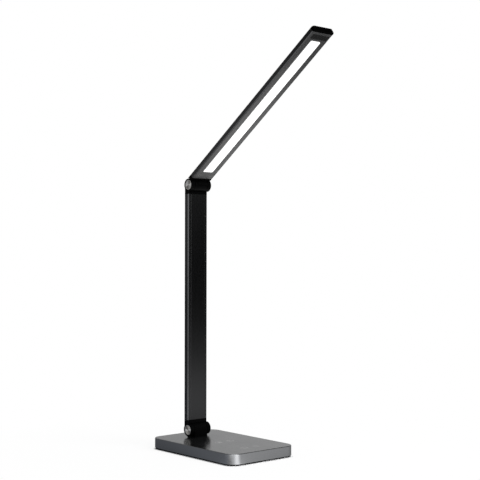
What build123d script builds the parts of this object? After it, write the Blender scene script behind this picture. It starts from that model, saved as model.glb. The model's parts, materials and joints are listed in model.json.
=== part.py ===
from build123d import *
from math import cos, radians, sin, sqrt
import os

os.makedirs("parts", exist_ok=True)

# Folding desk lamp with two friction hinges, in millimetres.
# The origin is the middle of the base's underside, +Z is up and the head reaches towards -Y.
# X runs along both hinge axes, and the hinge caps that face the viewer are on the -X side.

# Base housing
base_width = 118.0
base_length = 184.4
base_corner_radius = 16.0
base_height = 16.2
shell_wall = 2.0
shell_edge_radius = 0.8
lip_height = 2.2
lip_inset = 1.2
pad_thickness = 1.2
pad_proud = 0.6
pad_border = 6.0
under_chamfer = 0.3
rim_width = 1.6
rim_height = 2.0
weight_thickness = 6.0
weight_gap = 0.6
slip_gap = 0.2
cover_screw_side = 13.0
cover_screw_end = 13.5
screw_cone = 90.0
cover_screw_radius = 1.5
cover_screw_head_radius = 2.75
cover_screw_head_height = 2.0
screw_tip_gap = 0.8
cup_radius = 4.8
cup_height = 3.2
boss_radius = 4.0
peg_radius = 2.5
peg_side = 29.0
peg_front = 51.5

# Touch controls and their board
board_width = 48.0
board_thickness = 1.6
board_front = 13.5
board_back_gap = 21.3
board_room = 3.0
board_corner_radius = 2.0
board_boss_radius = 3.5
board_screw_radius = 1.2
board_screw_head_radius = 2.2
board_screw_head_height = 1.1
board_screw_inset = 5.0
touch_x = 11.0
touch_front = 30.5
touch_pitch = 56.0
touch_pad_radius = 4.4
connector_width = 7.0
connector_height = 2.8
connector_length = 6.0
inlet_connector_x = -9.5
chip_side = 7.0
chip_rise = 1.0
coil_x = 14.0
coil_radius = 4.0
coil_height = 2.4
driver_front = 46.0
driver_pitch = 10.0
driver_width = 5.0
driver_length = 4.0

# Power inlet at the back
inlet_x = -28.0
inlet_z = 9.2
inlet_body_width = 9.0
inlet_body_height = 9.6
inlet_body_depth = 13.0
inlet_nose_radius = 4.0
inlet_bore_radius = 3.15
inlet_bore_depth = 9.5
inlet_pin_radius = 1.0
inlet_pin_sink = 1.0
inlet_edge = 0.3
inlet_corner_radius = 0.6
inlet_lead_lift = 1.0
inlet_lead_run = 20.0
inlet_lead_bends = [12.0, 6.0]

# Hinges, the same at the foot and at the head
hinge_setback = 35.6
hinge_height = 360.0
knuckle_radius = 9.1
knuckle_lift = 1.4
centre_width = 23.0
washer_thickness = 0.6
washer_radius = 7.5
knuckle_web = 2.0
pocket_radius = 5.5
cap_radius = 7.2
cap_thickness = 1.0
cap_recess = 0.3
cap_dish = 0.3
sweep_gap = 0.4
running_gap = 0.05
seat_gap = 0.02
chamber_radius = 6.4
chamber_left = 5.0
chamber_right = 4.0
bolt_radius = 2.5
bolt_head_radius = 4.25
bolt_head_height = 2.0
bolt_socket = 3.0
bolt_socket_depth = 1.2
bolt_end_x = -1.5
bolt_chamfer = 0.3
bush_radius = 4.6
bush_bore_radius = 2.3
bush_mouth = 0.4
spring_radius = 4.4
spring_sheet = 0.45
spring_rise = 0.25
nut_across_flats = 7.0
nut_height = 2.8

# Foot bracket
flange_width = 44.0
flange_length = 36.0
flange_thickness = 3.0
flange_corner_radius = 4.0
foot_screw_x = 16.0
foot_screw_y = 12.0
foot_screw_radius = 2.0
foot_screw_head_radius = 3.9
foot_channel = 10.0

# Stem
stem_width = 36.3
stem_front = 0.4
stem_back = 8.4
stem_bevel = 1.4
stem_back_bevel = 0.8
stem_wall = 1.3
stem_front_wall = 2.0
lower_reach = 14.4
upper_reach = 13.4
plug_length = 22.0
plug_gap = 0.15
plug_chamfer = 0.6
band_root = 5.0
panel_width = 25.2
panel_depth = 0.8
panel_gap = 0.1
panel_edge = 0.1
stem_screw_x = 7.0
stem_screw_radius = 1.25
stem_screw_head_radius = 2.5
stem_screw_length = 5.5

# Head
head_angle = 35.2
head_width = 37.5
head_under = 1.4
head_thickness = 7.0
head_start = 14.0
head_shoulder = 6.5
head_length = 323.7
cap_length = 5.0
head_wall = 1.5
head_roof = 1.2
head_bevel = 1.0
head_top_radius = 1.0
tip_corner_radius = 4.0
tip_chamfer = 0.6
tip_tongue = 10.0
bezel_thickness = 1.2
bezel_rib_width = 1.5
window_start = 29.2
window_tip = 20.3
window_width = 18.1
window_corner_radius = 2.6
window_chamfer = 0.5
diffuser_sink = 0.1
diffuser_sheet = 1.2
diffuser_lap = 1.4
diffuser_gap = 0.1
guide_thickness = 3.0
guide_width = 26.2
reflector_thickness = 0.25
strip_thickness = 0.8
chip_length = 3.0
chip_height = 1.6
chip_depth = 0.6
chip_pitch = 12.0
head_plug_length = 12.0
head_screw_x = 10.2
head_screw_along = 21.0
head_screw_radius = 1.25
head_screw_head_radius = 2.2
head_screw_length = 4.6

# Leads
lead_radius = 1.1
lead_x = 2.0
lead_meet_x = 13.0
lead_meet_gap = 0.1
lead_stem_x = 11.0
lead_rise = 5.0
lead_overrun = 1.0
lead_bends = [6.0, 10.0]
lead_corner = 2.2
foot_lead_bends = [5.0, 4.5]
head_lead_bends = [4.0, 10.0]
lead_level = 10.0
duct_gap = 0.3

# Worked out from the values above
cover_under = pad_proud
cover_top = lip_height
cover_seat = cover_top + cup_height / 2
shell_under = base_height - shell_wall
weight_top = cover_top + weight_thickness
board_top = shell_under - board_room
board_under = board_top - board_thickness
board_front_y = board_front - base_length / 2
driver_y = board_front_y + driver_front
touch_front_y = touch_front - base_length / 2
cover_screw_x = base_width / 2 - cover_screw_side
cover_screw_y = base_length / 2 - cover_screw_end
peg_x = base_width / 2 - peg_side
peg_y = peg_front - base_length / 2
axis_y = base_length / 2 - hinge_setback
board_back_y = axis_y - flange_length / 2 - board_back_gap
board_length = board_back_y - board_front_y
axis_z = base_height + knuckle_lift + knuckle_radius
top_axis_z = axis_z + hinge_height
half_barrel = stem_width / 2
half_centre = centre_width / 2
ear_face = half_centre + washer_thickness
web_outer = ear_face + knuckle_web
cap_seat = half_barrel - cap_recess - cap_thickness
chamber_low = -half_centre + chamber_left
chamber_high = half_centre - chamber_right
sweep_radius = knuckle_radius + sweep_gap
cavity_front = stem_front_wall - stem_front
cavity_back = stem_back - stem_wall
cavity_mid = (cavity_front + cavity_back) / 2
cavity_width = stem_width - 2 * stem_wall
stem_depth = stem_front + stem_back
stem_mid = (stem_back - stem_front) / 2
stem_low_z = axis_z + lower_reach
stem_high_z = top_axis_z - upper_reach
head_top = head_under + head_thickness
head_mid = (head_under + head_top) / 2
cap_start = head_length - cap_length
window_end = head_length - window_tip
bezel_top = head_under + bezel_thickness
sheet_top = bezel_top + diffuser_sheet
guide_top = sheet_top + guide_thickness
rib_top = guide_top
lead_turn_x = (web_outer + cap_seat) / 2
lead_z = board_top + connector_height / 2

lower_axis = Vector(0, axis_y, axis_z)
upper_axis = Vector(0, axis_y, top_axis_z)
along_head = Vector(0, -cos(radians(head_angle)), sin(radians(head_angle)))
above_head = Vector(0, sin(radians(head_angle)), cos(radians(head_angle)))


# A level face seen from below: x stays world X and y turns to -Y.
def seen_from_below(height):
    return Plane(origin=(0, 0, height), x_dir=(1, 0, 0), z_dir=(0, 0, -1))


# The plane square to X through a hinge: its own x is world Y and its own y is world Z.
def hinge_side(centre, x=0.0):
    return Plane(origin=centre + Vector(x, 0, 0), x_dir=(0, 1, 0), z_dir=(1, 0, 0))


# The head seen from the -X side: its own x runs along the head and its own y towards its top.
def head_side(x=0.0):
    return Plane(origin=upper_axis + Vector(x, 0, 0), x_dir=along_head, z_dir=(-1, 0, 0))


# The head cut across at a distance from the hinge: x across, y towards the top.
def head_section(along):
    return Plane(origin=upper_axis + along_head * along, x_dir=(1, 0, 0), z_dir=along_head)


# The head seen from below at a height above the hinge axis: x across, y along the head.
def head_plan(height):
    return Plane(origin=upper_axis + above_head * height, x_dir=(1, 0, 0), z_dir=above_head * -1)


def head_point(x, along, height):
    return upper_axis + Vector(x, 0, 0) + along_head * along + above_head * height


def save(part, name):
    part.label = name
    export_step(part, "parts/" + name + ".step")


# A round lead that follows straight runs joined by arcs.
def lead(points, radii, thickness):
    with BuildPart() as tube:
        with BuildLine() as route:
            FilletPolyline(*points, radius=radii)
        with BuildSketch(Plane(origin=route.line @ 0, z_dir=route.line % 0)):
            Circle(thickness)
        sweep()
    return tube.part


cover_screw_places = [
    (x, y) for x in (-cover_screw_x, cover_screw_x) for y in (-cover_screw_y, 0, cover_screw_y)
]
board_screw_places = [
    (x, y)
    for x in (-board_width / 2 + board_screw_inset, board_width / 2 - board_screw_inset)
    for y in (board_front_y + board_screw_inset, board_back_y - board_screw_inset)
]
touch_places = [(x, touch_front_y + y) for x in (-touch_x, touch_x) for y in (0, touch_pitch)]
peg_places = [(-peg_x, peg_y), (peg_x, peg_y)]
foot_screw_places = [
    (x, axis_y + y) for x in (-foot_screw_x, foot_screw_x) for y in (-foot_screw_y, foot_screw_y)
]

# Base top: a moulded tray upside down, with a boss for each screw, a slot for the foot
# and a round hole at the back for the power inlet.
boss_foot = cover_top + cup_height
with BuildPart() as base_top_shell:
    with BuildSketch(Plane.XY.offset(lip_height)):
        RectangleRounded(base_width, base_length, base_corner_radius)
    extrude(amount=base_height - lip_height)
    fillet(base_top_shell.faces().sort_by(Axis.Z)[-1].edges(), shell_edge_radius)
    with BuildSketch(Plane.XY.offset(lip_height)):
        RectangleRounded(
            base_width - 2 * shell_wall, base_length - 2 * shell_wall, base_corner_radius - shell_wall
        )
    extrude(amount=shell_under - lip_height, mode=Mode.SUBTRACT)
    with BuildSketch(Plane.XY.offset(boss_foot)):
        with Locations(*cover_screw_places):
            Circle(boss_radius)
    extrude(amount=shell_under - boss_foot)
    with BuildSketch(Plane.XY.offset(board_top)):
        with Locations(*board_screw_places):
            Circle(board_boss_radius)
    extrude(amount=shell_under - board_top)
    with BuildSketch(Plane.XY.offset(boss_foot)):
        with Locations(*cover_screw_places):
            Circle(cover_screw_radius + seat_gap)
    extrude(amount=shell_under - boss_foot - slip_gap, mode=Mode.SUBTRACT)
    with BuildSketch(Plane.XY.offset(board_top)):
        with Locations(*board_screw_places):
            Circle(board_screw_radius + seat_gap)
    extrude(amount=board_room - slip_gap, mode=Mode.SUBTRACT)
    with BuildSketch(Plane.XY.offset(shell_under)):
        with Locations((0, axis_y)):
            Rectangle(centre_width + 2 * slip_gap, 2 * (knuckle_radius + slip_gap))
    extrude(amount=shell_wall, mode=Mode.SUBTRACT)
    with BuildSketch(Plane(origin=(inlet_x, base_length / 2, inlet_z), x_dir=(1, 0, 0), z_dir=(0, 1, 0))):
        Circle(inlet_nose_radius + slip_gap)
    extrude(amount=-shell_wall, mode=Mode.SUBTRACT)
save(base_top_shell.part, "base_top_shell")

# Bottom cover: a plate with a rim inside the shell, a cup round each screw head,
# two pegs for the weight and a shallow bed for the rubber pad.
cover_width = base_width - 2 * lip_inset
cover_length = base_length - 2 * lip_inset
cover_corner = base_corner_radius - lip_inset
rim_inset = shell_wall + slip_gap
pad_width = cover_width - 2 * pad_border
pad_length = cover_length - 2 * pad_border
pad_corner = cover_corner - pad_border
with BuildPart() as base_bottom_cover:
    with BuildSketch(Plane.XY.offset(cover_under)):
        RectangleRounded(cover_width, cover_length, cover_corner)
    extrude(amount=cover_top - cover_under)
    with BuildSketch(Plane.XY.offset(cover_top)):
        RectangleRounded(
            base_width - 2 * rim_inset, base_length - 2 * rim_inset, base_corner_radius - rim_inset
        )
        offset(amount=-rim_width, kind=Kind.INTERSECTION, mode=Mode.SUBTRACT)
    extrude(amount=rim_height)
    with BuildSketch(Plane.XY.offset(cover_top)):
        with Locations(*cover_screw_places):
            Circle(cup_radius)
    extrude(amount=cup_height)
    with BuildSketch(Plane.XY.offset(cover_top)):
        with Locations(*peg_places):
            Circle(peg_radius)
    extrude(amount=weight_thickness / 2)
    with Locations(seen_from_below(cover_under)):
        with Locations(*cover_screw_places):
            CounterBoreHole(
                cover_screw_radius + slip_gap,
                cover_screw_head_radius + slip_gap,
                cover_seat - cover_under,
                cover_top + cup_height - cover_under,
            )
    with BuildSketch(Plane.XY.offset(cover_under)):
        RectangleRounded(pad_width + 2 * slip_gap, pad_length + 2 * slip_gap, pad_corner + slip_gap)
    extrude(amount=pad_thickness - pad_proud, mode=Mode.SUBTRACT)
    chamfer(base_bottom_cover.faces().sort_by(Axis.Z)[0].outer_wire().edges(), under_chamfer)
save(base_bottom_cover.part, "base_bottom_cover")

# Rubber pad: the one face that meets the table.
with BuildPart() as rubber_pad:
    with BuildSketch():
        RectangleRounded(pad_width, pad_length, pad_corner)
    extrude(amount=pad_thickness)
    chamfer(rubber_pad.faces().sort_by(Axis.Z)[0].edges(), under_chamfer)
save(rubber_pad.part, "rubber_pad")

# Steel plate that keeps the lamp upright. The foot is screwed to it from below.
weight_inset = rim_inset + rim_width + weight_gap
with BuildPart() as counterweight:
    with BuildSketch(Plane.XY.offset(cover_top)):
        RectangleRounded(
            base_width - 2 * weight_inset, base_length - 2 * weight_inset, base_corner_radius - weight_inset
        )
        with Locations(*cover_screw_places):
            Circle(cup_radius + slip_gap, mode=Mode.SUBTRACT)
        with Locations(*peg_places):
            Circle(peg_radius + slip_gap, mode=Mode.SUBTRACT)
        with Locations((inlet_x, base_length / 2)):
            Rectangle(
                inlet_body_width + 4 * slip_gap,
                2 * (shell_wall + inlet_body_depth + slip_gap),
                mode=Mode.SUBTRACT,
            )
    extrude(amount=weight_thickness)
    with Locations(seen_from_below(cover_top)):
        with Locations(*[(x, -y) for x, y in foot_screw_places]):
            CounterSinkHole(
                foot_screw_radius + slip_gap,
                foot_screw_head_radius + seat_gap,
                weight_thickness,
                screw_cone,
            )
save(counterweight.part, "counterweight")

# Foot: a flange on the weight, a pedestal through the shell and the middle knuckle on top.
# It is hollow, so that the nut and springs go in from below and the lead comes up inside.
flange_top = weight_top + flange_thickness
with BuildPart() as hinge_foot:
    with BuildSketch(Plane.XY.offset(weight_top)):
        with Locations((0, axis_y)):
            RectangleRounded(flange_width, flange_length, flange_corner_radius)
    extrude(amount=flange_thickness)
    with BuildSketch(hinge_side(lower_axis)):
        Circle(knuckle_radius)
        with Locations((0, (flange_top - axis_z) / 2)):
            Rectangle(2 * knuckle_radius, axis_z - flange_top)
    extrude(amount=half_centre, both=True)
    with BuildSketch(hinge_side(lower_axis, chamber_low)):
        Circle(chamber_radius)
        with Locations((0, (weight_top - axis_z) / 2)):
            Rectangle(foot_channel, axis_z - weight_top)
    extrude(amount=chamber_high - chamber_low, mode=Mode.SUBTRACT)
    with BuildSketch(hinge_side(lower_axis, chamber_low)):
        Circle(bolt_radius + seat_gap)
    extrude(amount=-chamber_left, mode=Mode.SUBTRACT)
    with BuildSketch(hinge_side(lower_axis, chamber_high)):
        Circle(bush_radius + seat_gap)
    extrude(amount=chamber_right, mode=Mode.SUBTRACT)
    lead_door = (lead_x, axis_y - knuckle_radius, lead_z)
    with BuildSketch(Plane(origin=lead_door, x_dir=(1, 0, 0), z_dir=(0, 1, 0))):
        Circle(lead_radius + duct_gap)
    extrude(amount=knuckle_radius, mode=Mode.SUBTRACT)
    with BuildSketch(Plane.XY.offset(weight_top)):
        with Locations(*foot_screw_places):
            Circle(foot_screw_radius + seat_gap)
    extrude(amount=flange_thickness, mode=Mode.SUBTRACT)
save(hinge_foot.part, "hinge_foot")


# Pan-head screws that point up, as a group of separate solids, with a cross slot in each head.
def pan_screws(places, seat_z, shank_radius, shank_length, head_radius, head_height):
    with BuildPart() as screws:
        with BuildSketch(Plane.XY.offset(seat_z)):
            with Locations(*places):
                Circle(shank_radius)
        extrude(amount=shank_length)
        with BuildSketch(Plane.XY.offset(seat_z)):
            with Locations(*places):
                Circle(head_radius)
        extrude(amount=-head_height)
        with BuildSketch(Plane.XY.offset(seat_z - head_height)):
            with Locations(*places):
                Rectangle(head_radius, head_radius / 4)
                Rectangle(head_radius / 4, head_radius)
        extrude(amount=head_height / 2, mode=Mode.SUBTRACT)
    return screws.part


# Countersunk screws as a group. The plane lies on the flush face and points out of it.
def flush_screws(face, places, shank_radius, length, head_radius):
    with BuildPart() as screws:
        with BuildSketch(face):
            with Locations(*places):
                Circle(head_radius)
        extrude(amount=-(head_radius - shank_radius), taper=screw_cone / 2)
        with BuildSketch(face):
            with Locations(*places):
                Circle(shank_radius)
        extrude(amount=-length)
        with BuildSketch(face):
            with Locations(*places):
                Rectangle(head_radius, head_radius / 4)
                Rectangle(head_radius / 4, head_radius)
        extrude(amount=-shank_radius / 2, mode=Mode.SUBTRACT)
    return screws.part


save(
    pan_screws(
        cover_screw_places,
        cover_seat,
        cover_screw_radius,
        shell_under - cover_seat - screw_tip_gap,
        cover_screw_head_radius,
        cover_screw_head_height,
    ),
    "cover_screws",
)
save(
    pan_screws(
        board_screw_places,
        board_under,
        board_screw_radius,
        board_thickness + board_room - screw_tip_gap,
        board_screw_head_radius,
        board_screw_head_height,
    ),
    "board_screws",
)
save(
    flush_screws(
        seen_from_below(cover_top),
        [(x, -y) for x, y in foot_screw_places],
        foot_screw_radius,
        weight_thickness + flange_thickness - slip_gap,
        foot_screw_head_radius,
    ),
    "foot_screws",
)

# Control board under the top, with its driver parts and two lead connectors.
board_mid_y = (board_front_y + board_back_y) / 2
with BuildPart() as control_board:
    with BuildSketch(Plane.XY.offset(board_under)):
        with Locations((0, board_mid_y)):
            RectangleRounded(board_width, board_length, board_corner_radius)
        with Locations(*board_screw_places):
            Circle(board_screw_radius + slip_gap, mode=Mode.SUBTRACT)
    extrude(amount=board_thickness)
    with BuildSketch(Plane.XY.offset(board_top)):
        connector_y = board_back_y - connector_length / 2
        with Locations((inlet_connector_x, connector_y), (lead_x, connector_y)):
            Rectangle(connector_width, connector_length)
    extrude(amount=connector_height)
    with BuildSketch(Plane.XY.offset(board_top)):
        with Locations((0, driver_y)):
            Rectangle(chip_side, chip_side)
        with Locations((-coil_x, driver_y)):
            with GridLocations(0, driver_pitch, 1, 2):
                Rectangle(driver_width, driver_length)
    extrude(amount=chip_rise)
    with BuildSketch(Plane.XY.offset(board_top)):
        with Locations((coil_x, driver_y)):
            Circle(coil_radius)
    extrude(amount=coil_height)
save(control_board.part, "control_board")

# Conductive foam between the board and the top, one pad under each touch mark.
with BuildPart() as touch_pads:
    with BuildSketch(Plane.XY.offset(board_top)):
        with Locations(*touch_places):
            Circle(touch_pad_radius)
    extrude(amount=board_room)
save(touch_pads.part, "touch_pads")

# Power inlet: a square body inside the back wall, a round nose in the wall and a pin in its bore.
inlet_face = Plane(origin=(inlet_x, base_length / 2, inlet_z), x_dir=(1, 0, 0), z_dir=(0, 1, 0))
with BuildPart() as power_inlet:
    with BuildSketch(inlet_face.offset(-shell_wall - slip_gap)):
        RectangleRounded(inlet_body_width, inlet_body_height, inlet_corner_radius)
    extrude(amount=-inlet_body_depth)
    with BuildSketch(inlet_face):
        Circle(inlet_nose_radius)
    extrude(amount=-shell_wall - 2 * slip_gap)
    with BuildSketch(inlet_face):
        Circle(inlet_bore_radius)
    extrude(amount=-inlet_bore_depth, mode=Mode.SUBTRACT)
    with BuildSketch(inlet_face.offset(-inlet_bore_depth)):
        Circle(inlet_pin_radius)
    extrude(amount=inlet_bore_depth - inlet_pin_sink)
    chamfer(power_inlet.edges().filter_by(GeomType.CIRCLE).group_by(Axis.Y)[-1], inlet_edge)
save(power_inlet.part, "power_inlet")

# Leads in the base: inlet to board, and board up through the foot to the lower hinge.
inlet_back_y = base_length / 2 - shell_wall - slip_gap - inlet_body_depth
save(
    lead(
        [
            (inlet_x, inlet_back_y, inlet_z + inlet_lead_lift),
            (inlet_x, board_back_y + inlet_lead_run, inlet_z + inlet_lead_lift),
            (inlet_connector_x, board_back_y + inlet_lead_run / 2, lead_z),
            (inlet_connector_x, board_back_y, lead_z),
        ],
        inlet_lead_bends,
        lead_radius,
    ),
    "inlet_lead",
)
save(
    lead(
        [
            (lead_x, board_back_y, lead_z),
            (lead_x, axis_y, lead_z),
            (lead_x, axis_y, axis_z),
            (lead_meet_x - lead_meet_gap / 2, axis_y, axis_z),
        ],
        foot_lead_bends,
        lead_radius,
    ),
    "foot_lead",
)

# Hinge hardware, the same at both hinges. On the -X side a bolt, two disc springs and a nut
# clamp the ear to the middle knuckle. On the +X side a hollow bush carries the other ear and
# lets the lead through along the axis.
spring_stack = 2 * (spring_sheet + spring_rise)
for level, centre in (("lower", lower_axis), ("upper", upper_axis)):
    hinge_line = Axis(centre, (1, 0, 0))
    hinge_cut = Plane(origin=centre, x_dir=(1, 0, 0), z_dir=(0, -1, 0))

    with BuildPart() as hinge_bolt:
        with BuildSketch(hinge_side(centre, -web_outer)):
            Circle(bolt_radius)
        extrude(amount=web_outer + bolt_end_x)
        with BuildSketch(hinge_side(centre, -web_outer)):
            Circle(bolt_head_radius)
        extrude(amount=-bolt_head_height)
        with BuildSketch(hinge_side(centre, -web_outer - bolt_head_height)):
            RegularPolygon(bolt_socket / 2, 6, major_radius=False)
        extrude(amount=bolt_socket_depth, mode=Mode.SUBTRACT)
        chamfer(hinge_bolt.faces().sort_by(Axis.X)[-1].edges(), bolt_chamfer)
    save(hinge_bolt.part, level + "_hinge_bolt")

    with BuildPart() as hinge_nut:
        with BuildSketch(hinge_side(centre, chamber_low + spring_stack)):
            RegularPolygon(nut_across_flats / 2, 6, major_radius=False)
            Circle(bolt_radius + seat_gap, mode=Mode.SUBTRACT)
        extrude(amount=nut_height)
    save(hinge_nut.part, level + "_hinge_nut")

    with BuildPart() as disc_springs:
        bottom = bolt_radius + running_gap
        for start, step in ((chamber_low, 1), (chamber_low + spring_stack, -1)):
            with BuildSketch(hinge_cut):
                with BuildLine():
                    Polyline(
                        (start, bottom),
                        (start + step * spring_sheet, bottom),
                        (start + step * (spring_sheet + spring_rise), spring_radius),
                        (start + step * spring_rise, spring_radius),
                        close=True,
                    )
                make_face()
            revolve(axis=hinge_line)
    save(disc_springs.part, level + "_disc_springs")

    with BuildPart() as friction_washers:
        for side, bore in ((-1, bolt_radius + running_gap), (1, bush_radius + running_gap)):
            with BuildSketch(hinge_side(centre, side * half_centre)):
                Circle(washer_radius)
                Circle(bore, mode=Mode.SUBTRACT)
            extrude(amount=side * washer_thickness)
    save(friction_washers.part, level + "_friction_washers")

    with BuildPart() as hinge_bush:
        with BuildSketch(hinge_side(centre, chamber_high)):
            Circle(bush_radius)
            Circle(bush_bore_radius, mode=Mode.SUBTRACT)
        extrude(amount=web_outer - chamber_high)
        chamfer(hinge_bush.faces().sort_by(Axis.X)[-1].inner_wires()[0].edges(), bush_mouth)
    save(hinge_bush.part, level + "_hinge_bush")

    with BuildPart() as hinge_caps:
        cap_face = cap_seat + cap_thickness
        edge = cap_radius - running_gap
        for side in (-1, 1):
            with BuildSketch(hinge_cut):
                with BuildLine():
                    Polyline(
                        (side * cap_seat, 0),
                        (side * cap_seat, edge),
                        (side * (cap_face - cap_dish), edge),
                        (side * cap_face, edge - cap_dish),
                        (side * (cap_face - cap_dish), 0),
                        close=True,
                    )
                make_face()
            revolve(axis=hinge_line)
    save(hinge_caps.part, level + "_hinge_caps")


# The stem's outline across: bevelled at the front corners, less so at the back.
def stem_outline():
    with Locations((0, stem_mid)):
        Rectangle(stem_width, stem_depth)
    chamfer(vertices().group_by(Axis.Y)[0], stem_bevel)
    chamfer(vertices().group_by(Axis.Y)[-1], stem_back_bevel)


# The stem cut across at a height.
def stem_cut(height):
    return Plane(origin=(0, axis_y, height))


# A stem fitting: two ears round the middle knuckle, a band as wide as the stem and a plug
# inside it. It reaches up from the lower hinge (toward = 1) or down from the upper (toward = -1).
def stem_fitting(centre, toward, reach):
    def at(x, back, out):
        return centre + Vector(x, back, toward * out)

    with BuildPart() as fitting:
        with BuildSketch(stem_cut(centre.Z)):
            stem_outline()
        extrude(amount=toward * reach)
        with BuildSketch(stem_cut(centre.Z + toward * reach)):
            with Locations((0, cavity_mid)):
                Rectangle(cavity_width - 2 * plug_gap, cavity_back - cavity_front - 2 * plug_gap)
        extrude(amount=toward * plug_length)
        chamfer(fitting.faces().sort_by(Axis(centre, (0, 0, toward)))[-1].edges(), plug_chamfer)
        with BuildSketch(hinge_side(centre)):
            Circle(sweep_radius)
            with Locations((stem_mid, toward * band_root / 2)):
                Rectangle(stem_depth + 2 * stem_bevel, band_root)
        extrude(amount=ear_face, both=True, mode=Mode.SUBTRACT)
        for side in (-1, 1):
            with BuildSketch(hinge_side(centre, side * ear_face)):
                Circle(knuckle_radius)
            extrude(amount=side * (half_barrel - ear_face))
        for side, bore in ((-1, bolt_radius), (1, bush_radius)):
            with BuildSketch(hinge_side(centre, side * half_barrel)):
                Circle(cap_radius)
            extrude(amount=-side * (half_barrel - cap_seat), mode=Mode.SUBTRACT)
            with BuildSketch(hinge_side(centre, side * cap_seat)):
                Circle(pocket_radius)
            extrude(amount=-side * (cap_seat - web_outer), mode=Mode.SUBTRACT)
            with BuildSketch(hinge_side(centre, side * web_outer)):
                Circle(bore + running_gap)
            extrude(amount=-side * knuckle_web, mode=Mode.SUBTRACT)
        with BuildLine():
            duct = FilletPolyline(
                at(lead_turn_x, 0, lead_radius),
                at(lead_turn_x, 0, lead_rise),
                at(lead_stem_x, cavity_mid, reach - lead_overrun),
                at(lead_stem_x, cavity_mid, reach + plug_length + lead_overrun),
                radius=lead_bends,
            )
        with BuildSketch(Plane(origin=duct @ 0, z_dir=duct % 0)):
            Circle(lead_radius + duct_gap)
        sweep(path=duct, mode=Mode.SUBTRACT)
        screw_line = at(0, cavity_back, reach + plug_length / 2)
        with BuildSketch(Plane(origin=screw_line, x_dir=(-1, 0, 0), z_dir=(0, 1, 0))):
            with GridLocations(2 * stem_screw_x, 0, 2, 1):
                Circle(stem_screw_radius + seat_gap)
        extrude(amount=cavity_front - cavity_back, mode=Mode.SUBTRACT)
    return fitting.part


save(stem_fitting(lower_axis, 1, lower_reach), "stem_lower_fitting")
save(stem_fitting(upper_axis, -1, upper_reach), "stem_upper_fitting")

# Stem: a flat hollow extrusion with a shallow bed along its front for the panel.
stem_screw_heights = (
    stem_low_z + plug_length / 2,
    stem_high_z - plug_length / 2,
)
stem_rear = Plane(origin=(0, axis_y + stem_back, 0), x_dir=(-1, 0, 0), z_dir=(0, 1, 0))
stem_screw_places = [(x, z) for x in (-stem_screw_x, stem_screw_x) for z in stem_screw_heights]
with BuildPart() as stem_profile:
    with BuildSketch(stem_cut(stem_low_z)):
        stem_outline()
        with Locations((0, cavity_mid)):
            Rectangle(cavity_width, cavity_back - cavity_front, mode=Mode.SUBTRACT)
        with Locations((0, panel_depth / 2 - stem_front)):
            Rectangle(panel_width + 2 * panel_gap, panel_depth, mode=Mode.SUBTRACT)
    extrude(amount=stem_high_z - stem_low_z)
    with Locations(stem_rear):
        with Locations(*stem_screw_places):
            CounterSinkHole(
                stem_screw_radius + slip_gap, stem_screw_head_radius + seat_gap, stem_wall, screw_cone
            )
save(stem_profile.part, "stem_profile")

with BuildPart() as stem_front_panel:
    with BuildSketch(stem_cut(stem_low_z)):
        with Locations((0, panel_depth / 2 - stem_front)):
            Rectangle(panel_width, panel_depth)
            chamfer(vertices().group_by(Axis.Y)[0], panel_edge)
    extrude(amount=stem_high_z - stem_low_z)
save(stem_front_panel.part, "stem_front_panel")

save(
    flush_screws(
        stem_rear, stem_screw_places, stem_screw_radius, stem_screw_length, stem_screw_head_radius
    ),
    "stem_screws",
)

# Lead through the stem: out along the lower hinge axis, up inside the profile and back in
# along the upper hinge axis.
stem_lead_half = [
    (lead_meet_x + lead_meet_gap / 2, 0, 0),
    (lead_turn_x, 0, 0),
    (lead_turn_x, 0, lead_rise),
]
stem_lead_low = [lower_axis + Vector(*place) for place in stem_lead_half]
stem_lead_low.append(lower_axis + Vector(lead_stem_x, cavity_mid, lower_reach - lead_overrun))
stem_lead_high = [upper_axis + Vector(x, y, -z) for x, y, z in stem_lead_half]
stem_lead_high.append(upper_axis + Vector(lead_stem_x, cavity_mid, lead_overrun - upper_reach))
save(
    lead(
        stem_lead_low + stem_lead_high[::-1],
        [lead_corner] + lead_bends + lead_bends[::-1] + [lead_corner],
        lead_radius,
    ),
    "stem_lead",
)


# The head's outline across: bevelled along the underside and rounded along the top.
def head_outline():
    with Locations((0, head_mid)):
        Rectangle(head_width, head_thickness)
    chamfer(vertices().group_by(Axis.Y)[0], head_bevel)
    fillet(vertices().group_by(Axis.Y)[-1], head_top_radius)


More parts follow.
